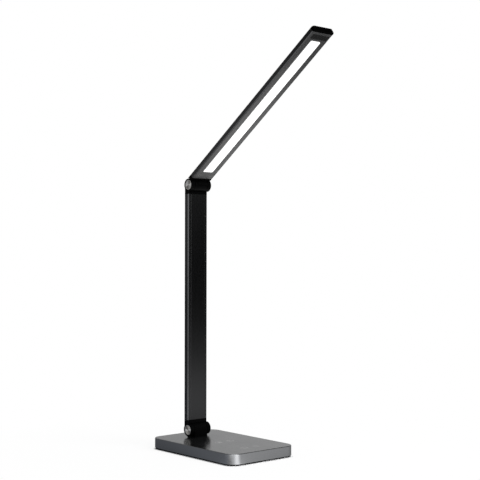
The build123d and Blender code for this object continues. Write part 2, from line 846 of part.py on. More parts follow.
# Head fitting: the middle knuckle, a neck, a shoulder as wide as the head and a plug inside it.
roof_under = head_top - head_roof
plug_width = head_width - 2 * head_wall - 2 * plug_gap
head_screw_places = [(-head_screw_x, head_screw_along), (head_screw_x, head_screw_along)]
with BuildPart() as head_fitting:
    with BuildSketch(head_section(head_shoulder)):
        head_outline()
    extrude(amount=head_start - head_shoulder)
    for side in (-1, 1):
        with BuildSketch(hinge_side(upper_axis, side * half_centre)):
            Circle(sweep_radius)
        extrude(amount=side * head_width, mode=Mode.SUBTRACT)
    with BuildSketch(head_side()):
        Circle(knuckle_radius)
        with Locations((head_start / 2, head_mid)):
            Rectangle(head_start, head_thickness)
    extrude(amount=half_centre, both=True)
    with BuildSketch(head_section(head_start)):
        with Locations((0, (bezel_top + roof_under) / 2)):
            Rectangle(plug_width, roof_under - bezel_top - 2 * plug_gap)
    extrude(amount=head_plug_length)
    with BuildSketch(hinge_side(upper_axis, chamber_low)):
        Circle(chamber_radius)
    extrude(amount=chamber_high - chamber_low, mode=Mode.SUBTRACT)
    with BuildSketch(hinge_side(upper_axis, chamber_low)):
        Circle(bolt_radius + seat_gap)
    extrude(amount=-chamber_left, mode=Mode.SUBTRACT)
    with BuildSketch(hinge_side(upper_axis, chamber_high)):
        Circle(bush_radius + seat_gap)
    extrude(amount=chamber_right, mode=Mode.SUBTRACT)
    with BuildLine():
        neck_duct = FilletPolyline(
            head_point(lead_x, lead_radius, lead_radius * head_mid / lead_level),
            head_point(lead_x, lead_level, head_mid),
            head_point(lead_x, head_start + head_plug_length + lead_overrun, head_mid),
            radius=head_lead_bends[1],
        )
    with BuildSketch(Plane(origin=neck_duct @ 0, z_dir=neck_duct % 0)):
        Circle(lead_radius + duct_gap)
    sweep(path=neck_duct, mode=Mode.SUBTRACT)
    with BuildSketch(head_plan(bezel_top)):
        with Locations(*head_screw_places):
            Circle(head_screw_radius + seat_gap)
    extrude(amount=-(head_screw_length - bezel_thickness + slip_gap), mode=Mode.SUBTRACT)
save(head_fitting.part, "head_fitting")

# Head profile: an extruded channel, open below.
with BuildPart() as head_profile:
    with BuildSketch(head_section(head_start)):
        head_outline()
        with Locations((0, (head_under + roof_under) / 2)):
            Rectangle(head_width - 2 * head_wall, roof_under - head_under, mode=Mode.SUBTRACT)
    extrude(amount=cap_start - head_start)
save(head_profile.part, "head_profile")

# Bezel: the underside plate round the light window, with two ribs that hold the light strips.
window_middle = (window_start + window_end) / 2
window_length = window_end - window_start
rib_inner = guide_width / 2 + chip_depth + strip_thickness + 2 * slip_gap
bezel_width = head_width - 2 * head_wall - slip_gap
with BuildPart() as head_bezel:
    with BuildSketch(head_plan(head_under)):
        with Locations((0, (head_start + cap_start) / 2)):
            Rectangle(bezel_width, cap_start - head_start)
        with Locations((0, window_middle)):
            RectangleRounded(window_width, window_length, window_corner_radius, mode=Mode.SUBTRACT)
    extrude(amount=-bezel_thickness)
    chamfer(
        head_bezel.faces().sort_by(Axis(upper_axis, above_head))[0].inner_wires()[0].edges(), window_chamfer
    )
    with BuildSketch(head_section(window_start)):
        with Locations((0, (bezel_top + rib_top) / 2)):
            with GridLocations(2 * rib_inner + bezel_rib_width, 0, 2, 1):
                Rectangle(bezel_rib_width, rib_top - bezel_top)
    extrude(amount=window_length)
    with Locations(head_plan(head_under)):
        with Locations(*head_screw_places):
            CounterSinkHole(
                head_screw_radius + slip_gap,
                head_screw_head_radius + seat_gap,
                bezel_thickness,
                screw_cone,
            )
save(head_bezel.part, "head_bezel")

save(
    flush_screws(
        head_plan(head_under),
        head_screw_places,
        head_screw_radius,
        head_screw_length,
        head_screw_head_radius,
    ),
    "head_screws",
)

# Diffuser: an opal sheet with a raised field that fills the window.
with BuildPart() as diffuser:
    with BuildSketch(head_plan(bezel_top)):
        with Locations((0, window_middle)):
            Rectangle(2 * (rib_inner - slip_gap), window_length + 2 * diffuser_lap)
    extrude(amount=-diffuser_sheet)
    with BuildSketch(head_plan(bezel_top)):
        with Locations((0, window_middle)):
            RectangleRounded(
                window_width - 2 * diffuser_gap,
                window_length - 2 * diffuser_gap,
                window_corner_radius - diffuser_gap,
            )
    extrude(amount=bezel_thickness - diffuser_sink)
save(diffuser.part, "diffuser")

with BuildPart() as light_guide:
    with BuildSketch(head_plan(sheet_top)):
        with Locations((0, window_middle)):
            Rectangle(guide_width, window_length)
    extrude(amount=-guide_thickness)
save(light_guide.part, "light_guide")

with BuildPart() as reflector:
    with BuildSketch(head_plan(guide_top)):
        with Locations((0, window_middle)):
            Rectangle(guide_width, window_length)
    extrude(amount=-reflector_thickness)
save(reflector.part, "reflector")

# Light strips: one U-shaped board on edge round the guide, with a row of chips along each side.
strip_inner = guide_width / 2 + chip_depth + slip_gap
strip_start = window_start - diffuser_lap
with BuildPart() as light_board:
    with BuildSketch(head_plan(sheet_top)):
        with Locations((0, (strip_start + window_end) / 2)):
            Rectangle(2 * (strip_inner + strip_thickness), window_end - strip_start)
        with Locations((0, (strip_start + strip_thickness + window_end) / 2)):
            Rectangle(2 * strip_inner, window_end - strip_start - strip_thickness, mode=Mode.SUBTRACT)
    extrude(amount=-guide_thickness)
save(light_board.part, "light_board")

chip_count = int(window_length / chip_pitch)
with BuildPart() as light_chips:
    with BuildSketch(head_plan(sheet_top + (guide_thickness - chip_height) / 2)):
        with Locations((0, window_middle)):
            with GridLocations(2 * strip_inner - chip_depth, chip_pitch, 2, chip_count):
                Rectangle(chip_depth, chip_length)
    extrude(amount=-chip_height)
save(light_chips.part, "light_chips")

# End cap: rounded at its outer corners, with a tongue inside the profile.
with BuildPart() as head_end_cap:
    with BuildSketch(head_plan(head_under)):
        with Locations((0, cap_start + cap_length / 2)):
            Rectangle(head_width, cap_length)
        fillet(vertices().group_by(Axis.Y)[-1], tip_corner_radius)
    extrude(amount=-head_thickness)
    inner_face = head_end_cap.faces().sort_by(Axis(upper_axis, along_head))[0]
    chamfer((head_end_cap.edges() - inner_face.edges()).filter_by(head_plan(0)), tip_chamfer)
    with BuildSketch(head_section(cap_start)):
        with Locations((0, (bezel_top + roof_under) / 2)):
            Rectangle(2 * (rib_inner - slip_gap), roof_under - bezel_top - 2 * plug_gap)
    extrude(amount=-tip_tongue)
save(head_end_cap.part, "head_end_cap")

# Lead in the head: in along the upper hinge axis, through the neck to the light board.
save(
    lead(
        [
            head_point(lead_meet_x - lead_meet_gap / 2, 0, 0),
            head_point(lead_x, 0, 0),
            head_point(lead_x, lead_level, head_mid),
            head_point(lead_x, strip_start, head_mid),
        ],
        head_lead_bends,
        lead_radius,
    ),
    "head_lead",
)
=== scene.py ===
import json
import math

import bpy
from mathutils import Matrix, Vector


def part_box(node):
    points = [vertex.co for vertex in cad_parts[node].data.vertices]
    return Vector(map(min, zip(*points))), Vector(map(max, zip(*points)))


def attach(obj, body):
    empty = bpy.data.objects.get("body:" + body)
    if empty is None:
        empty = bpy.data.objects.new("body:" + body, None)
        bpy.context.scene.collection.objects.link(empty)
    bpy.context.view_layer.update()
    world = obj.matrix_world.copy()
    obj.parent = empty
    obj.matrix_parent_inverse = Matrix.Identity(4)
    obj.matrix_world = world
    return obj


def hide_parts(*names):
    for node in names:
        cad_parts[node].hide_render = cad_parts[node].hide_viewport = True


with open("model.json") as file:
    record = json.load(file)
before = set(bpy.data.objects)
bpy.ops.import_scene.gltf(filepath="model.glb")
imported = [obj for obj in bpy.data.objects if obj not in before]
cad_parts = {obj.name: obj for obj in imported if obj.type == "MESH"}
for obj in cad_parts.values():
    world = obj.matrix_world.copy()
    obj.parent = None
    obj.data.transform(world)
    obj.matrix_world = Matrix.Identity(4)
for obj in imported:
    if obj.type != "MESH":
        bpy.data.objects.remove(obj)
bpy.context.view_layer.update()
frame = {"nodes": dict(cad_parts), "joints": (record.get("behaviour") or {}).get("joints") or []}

mm = 0.001  # shapes are given in mm, finishes and the studio in metres
joints = {joint["name"]: joint for joint in frame["joints"]}
lowerAxis = Vector(joints["lower_hinge"]["pos_m"])
upperAxis = Vector(joints["upper_hinge"]["pos_m"])
headTilt = math.radians(35.2)  # the head's slope at rest
print("frame loaded:", len(frame["nodes"]), "nodes")


# Shader helpers

class Wire:  # one output socket, where sums and products of wires are Math nodes
    def __init__(self, finish, socket):
        self.finish = finish
        self.socket = socket

    def __add__(self, other):
        return self.finish.maths("ADD", self, other)

    def __radd__(self, other):
        return self.finish.maths("ADD", other, self)

    def __sub__(self, other):
        return self.finish.maths("SUBTRACT", self, other)

    def __rsub__(self, other):
        return self.finish.maths("SUBTRACT", other, self)

    def __mul__(self, other):
        return self.finish.maths("MULTIPLY", self, other)

    def __rmul__(self, other):
        return self.finish.maths("MULTIPLY", other, self)


class Finish:  # a node tree, where node() adds any node and hands back one of its outputs
    def __init__(self, name, tree=None):
        if tree is None:
            self.material = bpy.data.materials.new(name)
            self.material.use_nodes = True
            tree = self.material.node_tree
        self.tree = tree
        self.tree.nodes.clear()

    def node(self, kind, settings=None, sockets=None, output=0):
        made = self.tree.nodes.new(kind)
        for key, value in (settings or {}).items():
            if key == "stops":
                ramp = made.color_ramp
                while len(ramp.elements) < len(value):
                    ramp.elements.new(1.0)
                for element, (place, shade) in zip(ramp.elements, value):
                    element.position = place
                    element.color = (*shade, 1.0)
            else:
                setattr(made, key, value)
        for key, value in (sockets or {}).items():
            if isinstance(value, Wire):
                self.tree.links.new(value.socket, made.inputs[key])
            else:
                made.inputs[key].default_value = value
        return Wire(self, made.outputs[output]) if made.outputs else None

    def maths(self, operation, first, second=0.0):
        return self.node("ShaderNodeMath", {"operation": operation}, {0: first, 1: second})

    def vectorMaths(self, operation, first, second=(0, 0, 0), output="Vector"):
        return self.node("ShaderNodeVectorMath", {"operation": operation}, {0: first, 1: second}, output)

    def place(self, turn=(0, 0, 0), shift=(0, 0, 0)):
        spot = self.node("ShaderNodeTexCoord", output="Object")
        sockets = {"Vector": spot, "Rotation": turn, "Location": shift}
        return self.node("ShaderNodeMapping", {}, sockets)

    def stretch(self, spot, scale):
        return self.node("ShaderNodeMapping", {}, {"Vector": spot, "Scale": scale})

    def axis(self, spot, name):
        return self.node("ShaderNodeSeparateXYZ", {}, {"Vector": spot}, name)

    def noise(self, spot, size, detail=2.0, roughness=0.5):
        sockets = {"Vector": spot, "Scale": 1 / size, "Detail": detail, "Roughness": roughness}
        return self.node("ShaderNodeTexNoise", {}, sockets, "Fac")

    def cells(self, spot, size):
        sockets = {"Vector": spot, "Scale": 1 / size}
        colour = self.node("ShaderNodeTexVoronoi", {"feature": "F1"}, sockets, "Color")
        return self.node("ShaderNodeSeparateColor", {}, {"Color": colour}, "Red")

    def ramp(self, value, stops):
        return self.node("ShaderNodeValToRGB", {"stops": stops}, {0: value}, "Color")

    def blend(self, share, first, second):
        first, second = (c if isinstance(c, Wire) else (*c, 1.0) for c in (first, second))
        return self.node("ShaderNodeMix", {"data_type": "RGBA"}, {0: share, 6: first, 7: second}, 2)

    def bump(self, height, strength, depth):
        sockets = {"Height": height, "Strength": strength, "Distance": depth}
        return self.node("ShaderNodeBump", {}, sockets, "Normal")

    def surface(self, sockets):
        shader = self.node("ShaderNodeBsdfPrincipled", {}, sockets, "BSDF")
        self.node("ShaderNodeOutputMaterial", {}, {"Surface": shader})
        return self.material


def sway(pattern, span):  # turns a pattern from 0 to 1 into a swing of that span about zero
    return span * (pattern - 0.5)


# Satin paint with fine metal flakes, clouded a little by handling
flakeMix = {"sparkle": 0.45, "cloudDetail": 3.0, "cloudSway": 0.05, "flakeSway": 0.03}


def flakePaint(name, look):
    finish = Finish(name)
    spot = finish.place()
    flake = finish.cells(spot, look["flake"])
    cloud = finish.noise(spot, look["cloud"], flakeMix["cloudDetail"])
    peel = finish.noise(spot, look["peel"])
    colour = finish.blend(flake * flakeMix["sparkle"], look["colour"], look["glint"])
    colour = finish.blend(cloud * look["smudge"], colour, look["shade"])
    unevenness = sway(cloud, flakeMix["cloudSway"]) + sway(flake, flakeMix["flakeSway"])
    return finish.surface({
        "Base Color": colour,
        "Metallic": look["metal"],
        "Roughness": look["roughness"] + unevenness,
        "Specular Tint": look["edgeTint"],
        "Normal": finish.bump(peel, look["relief"], look["depth"]),
    })


# Moulded plastic or powder paint: a pebbled grain over a slow change of shade
grainMix = {"cloud": 0.6, "pebble": 0.4, "detail": 2.5, "coarse": 0.6, "pebbleSway": 0.08, "cloudSway": 0.06}


def grainedSkin(name, look):
    finish = Finish(name)
    spot = finish.place()
    pebble = finish.noise(spot, look["grain"], grainMix["detail"], grainMix["coarse"])
    cloud = finish.noise(spot, look["cloud"])
    share = grainMix["cloud"] * cloud + grainMix["pebble"] * pebble
    unevenness = sway(pebble, grainMix["pebbleSway"]) + sway(cloud, grainMix["cloudSway"])
    return finish.surface({
        "Base Color": finish.blend(share, look["colour"], look["shade"]),
        "Roughness": look["roughness"] + unevenness,
        "Specular IOR Level": look["gloss"],
        "Normal": finish.bump(pebble, look["relief"], look["depth"]),
    })


# Metal with a fine grain drawn along its length, which is Z when turn is zero
drawnMix = {"line": 0.75, "cloud": 0.25, "detail": 3.0, "coarse": 0.65, "lineSway": 0.1, "cloudSway": 0.05}


def drawnMetal(name, look):
    finish = Finish(name)
    spot = finish.place(turn=look["turn"])
    drawn = finish.stretch(spot, look["stretch"])
    line = finish.noise(drawn, look["grain"], drawnMix["detail"], drawnMix["coarse"])
    cloud = finish.noise(spot, look["cloud"])
    share = drawnMix["line"] * line + drawnMix["cloud"] * cloud
    unevenness = sway(line, drawnMix["lineSway"]) + sway(cloud, drawnMix["cloudSway"])
    return finish.surface({
        "Base Color": finish.blend(share, look["colour"], look["shade"]),
        "Metallic": look["metal"],
        "Roughness": look["roughness"] + unevenness,
        "Normal": finish.bump(line, look["relief"], look["depth"]),
    })


# Bare metal turned on a lathe: rings round the hinge axis, with a soft waver in them
turnedMix = {"ring": 0.6, "waver": 0.4, "sway": 0.1}


def turnedMetal(name, look):
    finish = Finish(name)
    spot = finish.place(shift=tuple(-look["centre"]))
    flat = finish.vectorMaths("MULTIPLY", spot, (0, 1, 1))
    away = finish.vectorMaths("LENGTH", flat, output="Value")
    waver = finish.noise(spot, look["waver"])
    ring = finish.maths("SINE", (away + look["drift"] * waver) * (2 * math.pi / look["pitch"]))
    ring = 0.5 + 0.5 * ring
    share = turnedMix["ring"] * ring + turnedMix["waver"] * waver
    return finish.surface({
        "Base Color": finish.blend(share, look["colour"], look["shade"]),
        "Metallic": look["metal"],
        "Roughness": look["roughness"] + sway(waver, turnedMix["sway"]),
        "Normal": finish.bump(ring, look["relief"], look["depth"]),
    })


print("finishes ready")


# Modelling helpers

def pickOnly(piece):
    bpy.ops.object.select_all(action="DESELECT")
    piece.select_set(True)
    bpy.context.view_layer.objects.active = piece


def finishModifier(piece, kind, settings):
    modifier = piece.modifiers.new(kind.title(), kind)
    for key, value in settings.items():
        setattr(modifier, key, value)
    pickOnly(piece)
    bpy.ops.object.modifier_apply(modifier=modifier.name)


def joinPieces(name, pieces):
    bpy.ops.object.select_all(action="DESELECT")
    for piece in pieces:
        piece.select_set(True)
    bpy.context.view_layer.objects.active = pieces[0]
    bpy.ops.object.join()
    joined = bpy.context.object
    joined.name = name
    return joined


def applyPlace():
    bpy.ops.object.transform_apply(location=True, rotation=True, scale=True)


def wear(piece, body, material):
    piece.data.materials.clear()
    piece.data.materials.append(material)
    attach(piece, body)


dressing = {"merge": 0.003, "flat": 0.4, "sharp": 32.0, "steps": 2, "weight": 100}  # in mm and degrees


# A merged copy of a CAD node with softened edges, which then stands for the node
def dressNode(node, body, material, edge):
    sharp = math.radians(dressing["sharp"])
    piece = bpy.data.objects.new(node + "_dress", frame["nodes"][node].data.copy())
    bpy.context.scene.collection.objects.link(piece)
    pickOnly(piece)
    bpy.ops.object.mode_set(mode="EDIT")
    bpy.ops.mesh.select_all(action="SELECT")
    bpy.ops.mesh.remove_doubles(threshold=dressing["merge"] * mm)
    bpy.ops.mesh.dissolve_limited(angle_limit=math.radians(dressing["flat"]))
    bpy.ops.object.mode_set(mode="OBJECT")
    bpy.ops.object.shade_smooth_by_angle(angle=sharp)
    finishModifier(piece, "BEVEL", {
        "width": edge * mm,
        "segments": dressing["steps"],
        "limit_method": "ANGLE",
        "angle_limit": sharp,
        "miter_outer": "MITER_ARC",
    })
    # Keeps flat faces flat beside the softened edges
    finishModifier(piece, "WEIGHTED_NORMAL", {"weight": dressing["weight"], "keep_sharp": True})
    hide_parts(node)
    wear(piece, body, material)


# Camera, solved from the corners and edges in the photograph, in mm and degrees
view = {
    "place": (-979.2, -1171.67, 284.28),
    "heading": -40.85,
    "tilt": 0.78,
    "roll": 0.08,
    "lens": 79.48,
    "sensor": 36,
}
lens = bpy.data.cameras.new("Camera")
lens.sensor_width = view["sensor"]
lens.lens = view["lens"]
camera = bpy.data.objects.new("Camera", lens)
bpy.context.scene.collection.objects.link(camera)
turned = Matrix.Rotation(math.radians(view["heading"]), 4, "Z")
turned = turned @ Matrix.Rotation(math.radians(90 + view["tilt"]), 4, "X")
turned = turned @ Matrix.Rotation(math.radians(view["roll"]), 4, "Z")
camera.matrix_world = Matrix.Translation(Vector(view["place"]) * mm) @ turned
bpy.context.scene.camera = camera
bpy.context.scene.view_settings.view_transform = "Standard"
print("camera placed")


# Base

basePaint = {
    "colour": (0.184, 0.187, 0.193),
    "glint": (0.24, 0.243, 0.249),
    "shade": (0.17, 0.173, 0.179),
    "edgeTint": (0.85, 0.85, 0.85, 1),
    "flake": 0.00022,
    "cloud": 0.045,
    "peel": 0.0011,
    "smudge": 0.3,
    "metal": 1.0,
    "roughness": 0.24,
    "relief": 0.05,
    "depth": 0.00003,
}
lipPlastic = {
    "colour": (0.004, 0.004, 0.0043),
    "shade": (0.007, 0.007, 0.0075),
    "grain": 0.00045,
    "cloud": 0.02,
    "roughness": 0.5,
    "gloss": 0.05,
    "relief": 0.35,
    "depth": 0.00006,
}
padRubber = {
    "colour": (0.03, 0.03, 0.031),
    "shade": (0.05, 0.05, 0.05),
    "grain": 0.0009,
    "cloud": 0.015,
    "roughness": 0.85,
    "gloss": 0.25,
    "relief": 0.6,
    "depth": 0.00015,
}
housingPaint = flakePaint("housingPaint", basePaint)
blackPlastic = grainedSkin("blackPlastic", lipPlastic)
rubber = grainedSkin("rubber", padRubber)
dressNode("base_top_shell", "base", housingPaint, edge=0.12)
dressNode("base_bottom_cover", "base", blackPlastic, edge=0.12)
dressNode("rubber_pad", "base", rubber, edge=0.15)
dressNode("power_inlet", "base", blackPlastic, edge=0.08)


# Touch marks: thin lighter prints on the base top, one over each pad, upright for a viewer in front
markPrint = {
    **basePaint,
    "colour": (0.42, 0.425, 0.43),
    "glint": (0.48, 0.485, 0.49),
    "shade": (0.38, 0.385, 0.39),
    "edgeTint": (0.95, 0.95, 0.95, 1),
}
touchMark = {
    "across": 10.6,
    "line": 1.0,
    "thick": 0.026,
    "sunk": 0.004,
    "points": 56,
    "padRadius": 4.4,
    "barCorner": 0.45,  # a share of the line's width
}
# Lines and rings of each sign as shares of its half width: where a line's middle is, and its length
powerSign = {"gap": 0.55, "bar": (0.62, 0.85)}
brightSign = {"ring": 0.46, "rays": 8, "ray": (0.82, 0.34)}
warmSign = {"disc": 0.62, "width": 0.6, "cut": -0.05}  # the cut is in mm
timerSign = {"long": (0.28, 0.62), "short": (0.2, 0.46)}
markInk = flakePaint("markInk", markPrint)
padLow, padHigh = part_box("touch_pads")
padRadius = touchMark["padRadius"] * mm
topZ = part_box("base_top_shell")[1][2] - touchMark["sunk"] * mm


def flatRing(outer, width):
    bpy.ops.object.select_all(action="DESELECT")
    bpy.ops.mesh.primitive_circle_add(vertices=touchMark["points"], radius=outer * mm, fill_type="NGON")
    bpy.ops.object.mode_set(mode="EDIT")
    bpy.ops.mesh.inset(thickness=width * mm)
    bpy.ops.mesh.delete(type="FACE")
    bpy.ops.object.mode_set(mode="OBJECT")
    return bpy.context.object


def flatBar(x, y, width, length, turn=0.0):
    bpy.ops.object.select_all(action="DESELECT")
    bpy.ops.mesh.primitive_plane_add(size=mm, location=(x * mm, y * mm, 0), rotation=(0, 0, turn))
    bar = bpy.context.object
    bar.scale = (width, length, 1)
    applyPlace()
    bpy.ops.object.mode_set(mode="EDIT")
    bpy.ops.mesh.select_all(action="SELECT")
    bpy.ops.mesh.bevel(affect="VERTICES", offset=touchMark["barCorner"] * width * mm, segments=3)
    bpy.ops.object.mode_set(mode="OBJECT")
    return bar


def clearWhere(piece, inside):  # deletes the vertices for which inside(place in mm) holds
    pickOnly(piece)
    bpy.ops.object.mode_set(mode="EDIT")
    bpy.ops.mesh.select_all(action="DESELECT")
    bpy.ops.object.mode_set(mode="OBJECT")
    for corner in piece.data.vertices:
        corner.select = inside(corner.co / mm)
    bpy.ops.object.mode_set(mode="EDIT")
    bpy.ops.mesh.delete(type="VERT")
    bpy.ops.object.mode_set(mode="OBJECT")
    return piece


def placeMark(name, x, y, parts):
    mark = joinPieces(name, parts)
    mark.location = (x, y, topZ)
    applyPlace()
    thickness = (touchMark["thick"] + touchMark["sunk"]) * mm
    finishModifier(mark, "SOLIDIFY", {"thickness": thickness, "offset": 1})
    wear(mark, "base", markInk)


def sunRay(half, line, turn):
    middle, length = (share * half for share in brightSign["ray"])
    return flatBar(-middle * math.sin(turn), middle * math.cos(turn), line, length, turn)


half = touchMark["across"] / 2
line = touchMark["line"]
left, right = padLow[0] + padRadius, padHigh[0] - padRadius
front, back = padLow[1] + padRadius, padHigh[1] - padRadius

middle, length = (share * half for share in powerSign["bar"])
openRing = clearWhere(flatRing(half, line),
                      lambda place: place.y > 0 and abs(place.x) < powerSign["gap"] * place.y)
placeMark("mark_power", left, front, [openRing, flatBar(0, middle, line, length)])

turns = [2 * math.pi * step / brightSign["rays"] for step in range(brightSign["rays"])]
rays = [sunRay(half, line, turn) for turn in turns]
placeMark("mark_brightness", right, front, [flatRing(brightSign["ring"] * half, line), *rays])

filled = clearWhere(flatRing(warmSign["disc"] * half, warmSign["width"] * half),
                    lambda place: place.x < warmSign["cut"])
placeMark("mark_warmth", left, back, [flatRing(half, line), filled])

(longAt, longSize), (shortAt, shortSize) = timerSign["long"], timerSign["short"]
hands = [flatBar(0, longAt * half, line, longSize * half), flatBar(shortAt * half, 0, shortSize * half, line)]
placeMark("mark_timer", right, back, [flatRing(half, line), *hands])
print("base dressed")


# Hinges

fittingPaint = {
    "colour": (0.001, 0.001, 0.001),
    "shade": (0.0016, 0.0016, 0.0017),
    "grain": 0.0003,
    "cloud": 0.01,
    "roughness": 0.36,
    "gloss": 0.025,
    "relief": 0.25,
    "depth": 0.00004,
}
lowerCapMetal = {
    "centre": lowerAxis,
    "colour": (0.52, 0.505, 0.48),
    "shade": (0.71, 0.69, 0.66),
    "pitch": 0.00031,
    "drift": 0.0001,
    "waver": 0.004,
    "metal": 1.0,
    "roughness": 0.24,
    "relief": 0.25,
    "depth": 0.00003,
}
upperCapMetal = {**lowerCapMetal, "centre": upperAxis}
capTurning = {
    "radius": 7.13,
    "points": 96,
    "thick": 0.88,
    "edge": 0.12,
    "rim": 0.4,
    "cuts": 20,
    "pitch": 0.31,
    "groove": 0.13,
    "dish": 0.012,
    "sharp": 35,
}


# Two turned caps, one in each end of a barrel: a chamfered blank, a flat rim and grooves in a dish
def turnedCaps(node, axis, material):
    look = capTurning
    height = (look["thick"] + look["edge"]) * mm
    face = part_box(node)[1][0]
    pair = []
    for side in (1, -1):
        bpy.ops.object.select_all(action="DESELECT")
        bpy.ops.mesh.primitive_circle_add(
            vertices=look["points"], radius=look["radius"] * mm, fill_type="NGON")
        cap = bpy.context.object
        bpy.ops.object.mode_set(mode="EDIT")
        bpy.ops.mesh.extrude_region_move(TRANSFORM_OT_translate={"value": (0, 0, look["thick"] * mm)})
        bpy.ops.mesh.inset(thickness=look["edge"] * mm, depth=look["edge"] * mm)
        bpy.ops.mesh.inset(thickness=look["rim"] * mm)
        for cut in range(look["cuts"]):
            depth = look["groove"] * (1 if cut % 2 else -1) - look["dish"]
            bpy.ops.mesh.inset(thickness=look["pitch"] * mm, depth=depth * mm)
        bpy.ops.mesh.select_all(action="SELECT")
        bpy.ops.mesh.normals_make_consistent(inside=False)
        bpy.ops.object.mode_set(mode="OBJECT")
        cap.rotation_euler = (0, side * math.radians(90), 0)
        cap.location = axis + Vector((side * (face - height), 0, 0))
        pair.append(cap)
    caps = joinPieces(node + "_turned", pair)
    applyPlace()
    bpy.ops.object.shade_smooth_by_angle(angle=math.radians(look["sharp"]))
    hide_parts(node)
    wear(caps, "stem", material)


blackMetal = grainedSkin("blackMetal", fittingPaint)
dressNode("hinge_foot", "base", blackMetal, edge=0.3)
dressNode("stem_lower_fitting", "stem", blackMetal, edge=0.3)
dressNode("stem_upper_fitting", "stem", blackMetal, edge=0.3)
dressNode("head_fitting", "head", blackMetal, edge=0.3)
turnedCaps("lower_hinge_caps", lowerAxis, turnedMetal("lowerCapMetal", lowerCapMetal))
turnedCaps("upper_hinge_caps", upperAxis, turnedMetal("upperCapMetal", upperCapMetal))
print("hinges dressed")


# Stem

stemMetal = {
    "turn": (0, 0, 0),
    "stretch": (1, 1, 0.012),
    "grain": 0.00035,
    "cloud": 0.05,
    "colour": (0.031, 0.0315, 0.0325),
    "shade": (0.041, 0.0415, 0.0425),
    "metal": 1.0,
    "roughness": 0.24,
    "relief": 0.1,
    "depth": 0.00002,
}
panelMetal = {**stemMetal, "roughness": 0.22}
boltMetal = {**stemMetal, "colour": (0.1, 0.1, 0.1), "shade": (0.14, 0.14, 0.14)}
screwMetal = drawnMetal("screwMetal", boltMetal)
blackAnodised = drawnMetal("blackAnodised", stemMetal)
panelAnodised = drawnMetal("panelAnodised", panelMetal)
dressNode("stem_profile", "stem", blackAnodised, edge=0.15)
dressNode("stem_front_panel", "stem", panelAnodised, edge=0.05)
dressNode("stem_screws", "stem", screwMetal, edge=0.06)
print("stem dressed")


# Head

headMetal = {**stemMetal, "turn": (headTilt, 0, 0), "stretch": (1, 0.012, 1)}
bezelPlastic = {
    "colour": (0.012, 0.012, 0.0125),
    "shade": (0.018, 0.018, 0.0185),
    "grain": 0.0005,
    "cloud": 0.03,
    "roughness": 0.32,
    "gloss": 0.55,
    "relief": 0.15,
    "depth": 0.00003,
}
endPlastic = {
    **fittingPaint,
    "colour": (0.0003, 0.0003, 0.0003),
    "shade": (0.0006, 0.0006, 0.0006),
    "gloss": 0.008,
}
headAnodised = drawnMetal("headAnodised", headMetal)
bezelSkin = grainedSkin("bezelSkin", bezelPlastic)
dressNode("head_profile", "head", headAnodised, edge=0.12)
dressNode("head_bezel", "head", bezelSkin, edge=0.3)
dressNode("head_end_cap", "head", grainedSkin("endPlastic", endPlastic), edge=0.2)
dressNode("head_screws", "head", screwMetal, edge=0.06)


# Opal sheet, lit from inside: even over its middle, and fading out close to its edges, where the fade is
# painted shade from the frame round the window
opalMix = {"edge": 0.96, "cloud": 0.04, "detail": 1.0, "sway": 0.06}


def opalGlow(name, look):
    finish = Finish(name)
    spot = finish.place(turn=(headTilt, 0, 0), shift=look["shift"])
    across = finish.maths("ABSOLUTE", finish.axis(spot, "X"))
    along = finish.maths("ABSOLUTE", finish.axis(spot, "Y") + look["middle"])
    sides = finish.maths("POWER", across * (1 / look["half"]), look["sideFade"])
    ends = finish.maths("POWER", along * (1 / look["reach"]), look["endFade"])
    edge = finish.maths("MAXIMUM", sides, ends)
    cloud = finish.noise(spot, look["cloud"], opalMix["detail"])
    share = opalMix["edge"] * edge + opalMix["cloud"] * cloud
    return finish.surface({
        "Base Color": finish.blend(cloud, look["colour"], look["shade"]),
        "Roughness": look["roughness"] + sway(cloud, opalMix["sway"]),
        "Emission Color": finish.blend(share, look["glow"], look["dim"]),
        "Emission Strength": look["strength"],
    })


opal = {
    "shift": (-0.0008, 0, 0),
    "half": 0.0095,
    "middle": 0.34295,
    "reach": 0.1376,
    "sideFade": 10.0,  # a higher power keeps the fade nearer to the edge
    "endFade": 200.0,
    "cloud": 0.02,
    "colour": (0.62, 0.62, 0.61),
    "shade": (0.56, 0.56, 0.55),
    "glow": (1.0, 1.0, 0.99),
    # glow at the very edges: painted shade from the frame round the window
    "dim": (0.02, 0.02, 0.022),
    "roughness": 0.4,
    "strength": 1.0,
}
dressNode("diffuser", "head", opalGlow("opalSheet", opal), edge=0.06)


# Thin dark plate across the underside between the window and the end cap, darkening that band
darkBand = {
    "along": (306.9, 315.0),
    "side": (-13.9, 16.0),
    "under": 1.4,
    "thick": 0.12,
    "sunk": 0.02,
    "corner": 0.9,
    "cornerSteps": 6,
    "edge": 0.04,
}
# Near-black finish of the thin dark plate that darkens the band before the end cap
darkBandPlastic = {
    **bezelPlastic,
    "colour": (0.003, 0.003, 0.003),
    "shade": (0.006, 0.006, 0.006),
    "gloss": 0.12,
}
